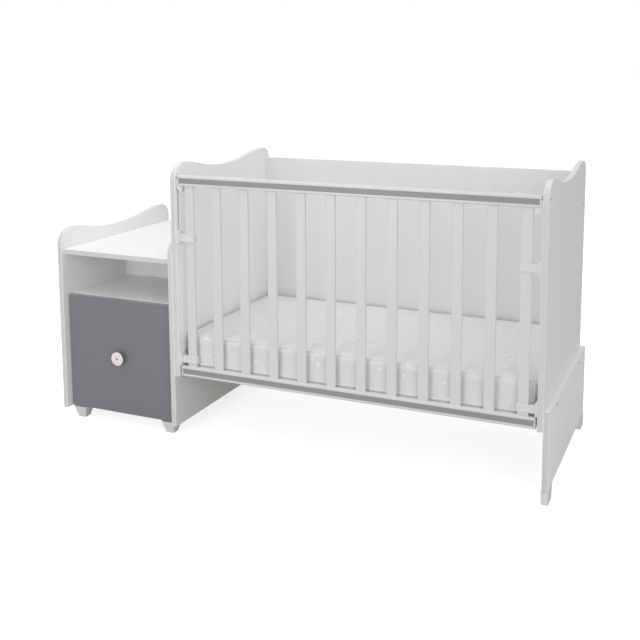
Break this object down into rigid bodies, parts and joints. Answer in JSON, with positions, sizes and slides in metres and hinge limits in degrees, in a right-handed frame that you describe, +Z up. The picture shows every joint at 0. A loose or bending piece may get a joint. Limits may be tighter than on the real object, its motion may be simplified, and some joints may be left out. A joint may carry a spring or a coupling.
{
  "type": "convertible baby cot with changing cupboard",
  "caption": "White baby cot with a sliding slatted front and a wave-topped changing cupboard with a deep drawer joined at its left.",
  "frame": {"origin": "middle of the floor under the whole cot and cupboard", "axes": "+X along the length from the cupboard towards the leg board, -Y towards the slatted front, +Z up"},
  "size_m": [1.736, 0.66, 0.943],
  "materials": {
    "white_board": "white melamine-faced board, satin",
    "white_lacquer": "white lacquered wood, satin",
    "grey_stripe": "grey edging strip, satin",
    "grey_board": "grey melamine-faced board, satin",
    "white_nylon": "moulded white nylon",
    "foot_plastic": "moulded white plastic",
    "screw_steel": "zinc-plated screws",
    "bolt_steel": "dark connector bolts",
    "slide_steel": "white coated steel slides",
    "pale_wood": "pale pine and plywood, plain",
    "mattress_cover": "white cotton cover with a small star print",
    "hardboard": "thin white-faced hardboard",
    "knob_white": "white turned knob"
  },
  "bodies": {
    "root": {"left_end_panel": "white_board", "right_end_panel": "white_board", "back_panel": "white_board", "upper_guide_left": "white_nylon", "upper_guide_right": "white_nylon", "lower_guide_left": "white_nylon", "lower_guide_right": "white_nylon", "guide_screws": "screw_steel", "stop_screws": "screw_steel", "frame_bolts": "bolt_steel", "joint_bolts": "bolt_steel", "base_beam_front": "white_board", "base_beam_rear": "white_board", "base_slats": "pale_wood", "mattress": "mattress_cover", "leg_board": "white_board", "leg_foot_front": "foot_plastic", "leg_foot_rear": "foot_plastic", "cupboard_left_panel": "white_board", "cupboard_right_panel": "white_board", "changing_top": "white_board", "rear_top": "white_board", "shelf": "white_board", "bottom_board": "white_board", "partition": "white_board", "rear_rail": "white_board", "cupboard_foot_1": "foot_plastic", "cupboard_foot_2": "foot_plastic", "cupboard_foot_3": "foot_plastic", "cupboard_foot_4": "foot_plastic", "cabinet_slide_left": "slide_steel", "cabinet_slide_right": "slide_steel"},
    "drop_side": {"top_rail": "white_lacquer", "bottom_rail": "white_lacquer", "top_rail_stripe": "grey_stripe", "bottom_rail_stripe": "grey_stripe", "slat_01": "white_lacquer", "slat_02": "white_lacquer", "slat_03": "white_lacquer", "slat_04": "white_lacquer", "slat_05": "white_lacquer", "slat_06": "white_lacquer", "slat_07": "white_lacquer", "slat_08": "white_lacquer", "slat_09": "white_lacquer", "slat_10": "white_lacquer", "slat_11": "white_lacquer", "slat_12": "white_lacquer", "slider_left": "white_nylon", "slider_right": "white_nylon", "slider_screws": "screw_steel"},
    "drawer": {"drawer_front": "grey_board", "drawer_side_left": "white_board", "drawer_side_right": "white_board", "drawer_back": "white_board", "drawer_bottom": "hardboard", "drawer_slide_left": "slide_steel", "drawer_slide_right": "slide_steel", "knob": "knob_white", "knob_screw": "screw_steel"}
  },
  "joints": [
    {"name": "drop_side_slide", "type": "slide", "parent": "root", "child": "drop_side", "axis": [0, 0, -1], "range_m": [0, 0.1325]},
    {"name": "drawer_slide", "type": "slide", "parent": "root", "child": "drawer", "axis": [0, -1, 0], "range_m": [0, 0.225]}
  ]
}
